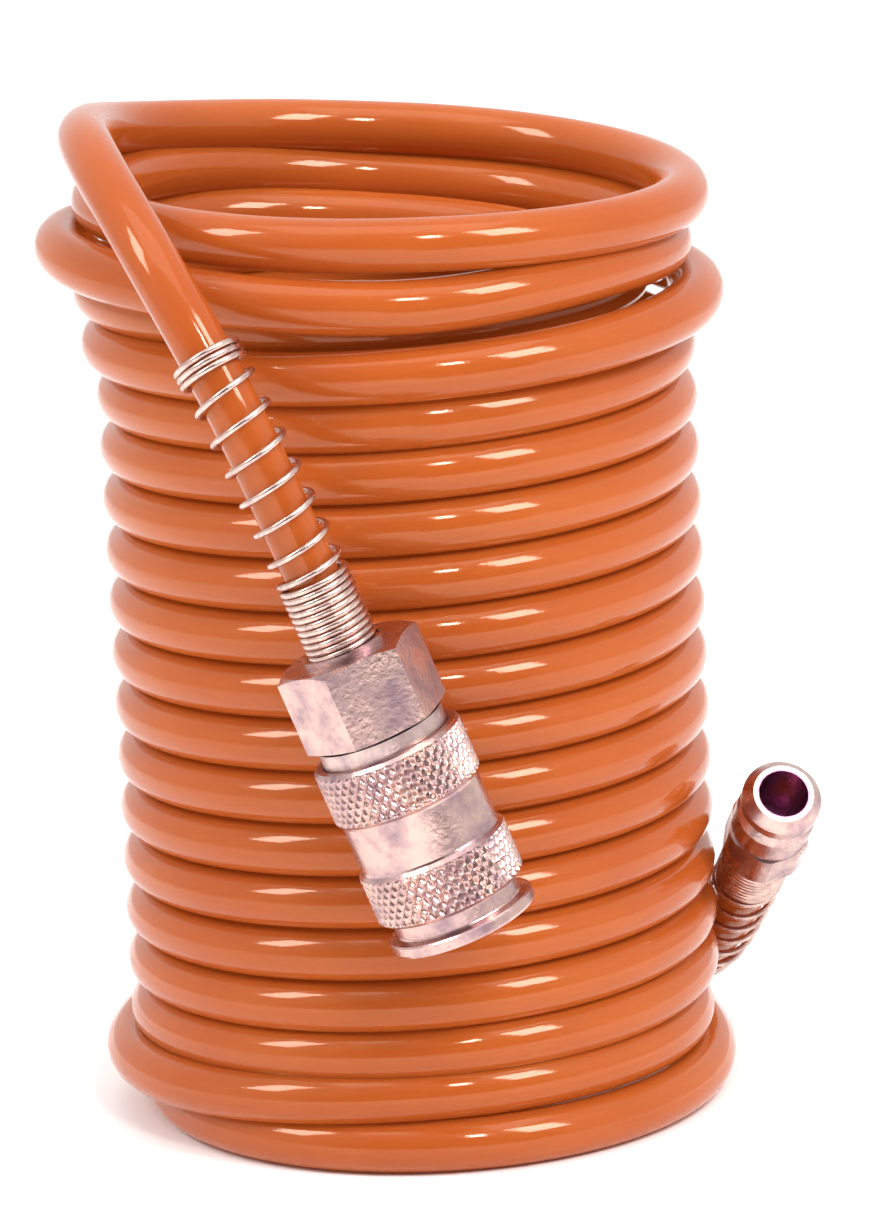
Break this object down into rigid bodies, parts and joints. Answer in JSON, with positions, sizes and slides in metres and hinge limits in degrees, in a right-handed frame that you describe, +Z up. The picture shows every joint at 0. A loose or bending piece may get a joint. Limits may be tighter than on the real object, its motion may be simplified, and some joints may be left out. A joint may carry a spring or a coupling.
{
  "type": "recoil air hose",
  "caption": "Orange recoil air hose standing on its coil, with a quick coupler on one spring-guarded lead and a plug on the other.",
  "frame": {"origin": "middle of the model's footprint, on the surface that the coil stands on", "axes": "+Z up along the coil's axis; -Y towards the coupler; +X towards the plug"},
  "size_m": [0.109, 0.1258, 0.1545],
  "materials": {
    "hose": "gloss",
    "plated": "polished",
    "turned_steel": "satin",
    "spring_wire": "satin",
    "valve_plastic": "matte",
    "seal_rubber": "matte"
  },
  "bodies": {
    "hose": {"hose_coil": "hose", "hose_lead_coupler": "hose", "hose_lead_plug": "hose", "coupler_spring_guard": "spring_wire", "coupler_nut": "plated", "coupler_stem": "turned_steel", "stem_gasket": "seal_rubber", "socket_body": "turned_steel", "sleeve_spring": "spring_wire", "sleeve_stop_ring": "spring_wire", "valve_spring": "spring_wire", "plug_packing": "seal_rubber", "plug_body": "plated", "plug_nut": "plated", "plug_spring_guard": "spring_wire"},
    "sleeve": {"sleeve": "plated"},
    "valve": {"valve_poppet": "valve_plastic", "valve_seal": "seal_rubber"},
    "lock_ball_1": {"lock_ball_1": "turned_steel"},
    "lock_ball_2": {"lock_ball_2": "turned_steel"},
    "lock_ball_3": {"lock_ball_3": "turned_steel"},
    "lock_ball_4": {"lock_ball_4": "turned_steel"},
    "lock_ball_5": {"lock_ball_5": "turned_steel"},
    "lock_ball_6": {"lock_ball_6": "turned_steel"}
  },
  "joints": [
    {"name": "sleeve_slide", "type": "slide", "parent": "hose", "child": "sleeve", "axis": [-0.3445, -0.0115, 0.9387], "range_m": [0, 0.0025], "stiffness_N_per_m": 2000, "springref_m": -0.003, "deforming": ["sleeve_spring"]},
    {"name": "valve_slide", "type": "slide", "parent": "hose", "child": "valve", "axis": [-0.3445, -0.0115, 0.9387], "range_m": [0, 0.003], "stiffness_N_per_m": 800, "springref_m": -0.004, "deforming": ["valve_spring"]},
    {"name": "ball_slide_1", "type": "slide", "parent": "hose", "child": "lock_ball_1", "axis": [0.004, -0.9999, -0.0108], "range_m": [0, 0.00082]},
    {"name": "ball_slide_2", "type": "slide", "parent": "hose", "child": "lock_ball_2", "axis": [-0.811, -0.5, -0.3037], "range_m": [0, 0.00082]},
    {"name": "ball_slide_3", "type": "slide", "parent": "hose", "child": "lock_ball_3", "axis": [-0.815, 0.5, -0.293], "range_m": [0, 0.00082]},
    {"name": "ball_slide_4", "type": "slide", "parent": "hose", "child": "lock_ball_4", "axis": [-0.004, 0.9999, 0.0108], "range_m": [0, 0.00082]},
    {"name": "ball_slide_5", "type": "slide", "parent": "hose", "child": "lock_ball_5", "axis": [0.811, 0.5, 0.3037], "range_m": [0, 0.00082]},
    {"name": "ball_slide_6", "type": "slide", "parent": "hose", "child": "lock_ball_6", "axis": [0.815, -0.5, 0.293], "range_m": [0, 0.00082]}
  ],
  "couplings": [
    {"joint": "ball_slide_1", "follows": "sleeve_slide", "ratio": 0.328},
    {"joint": "ball_slide_2", "follows": "sleeve_slide", "ratio": 0.328},
    {"joint": "ball_slide_3", "follows": "sleeve_slide", "ratio": 0.328},
    {"joint": "ball_slide_4", "follows": "sleeve_slide", "ratio": 0.328},
    {"joint": "ball_slide_5", "follows": "sleeve_slide", "ratio": 0.328},
    {"joint": "ball_slide_6", "follows": "sleeve_slide", "ratio": 0.328}
  ]
}
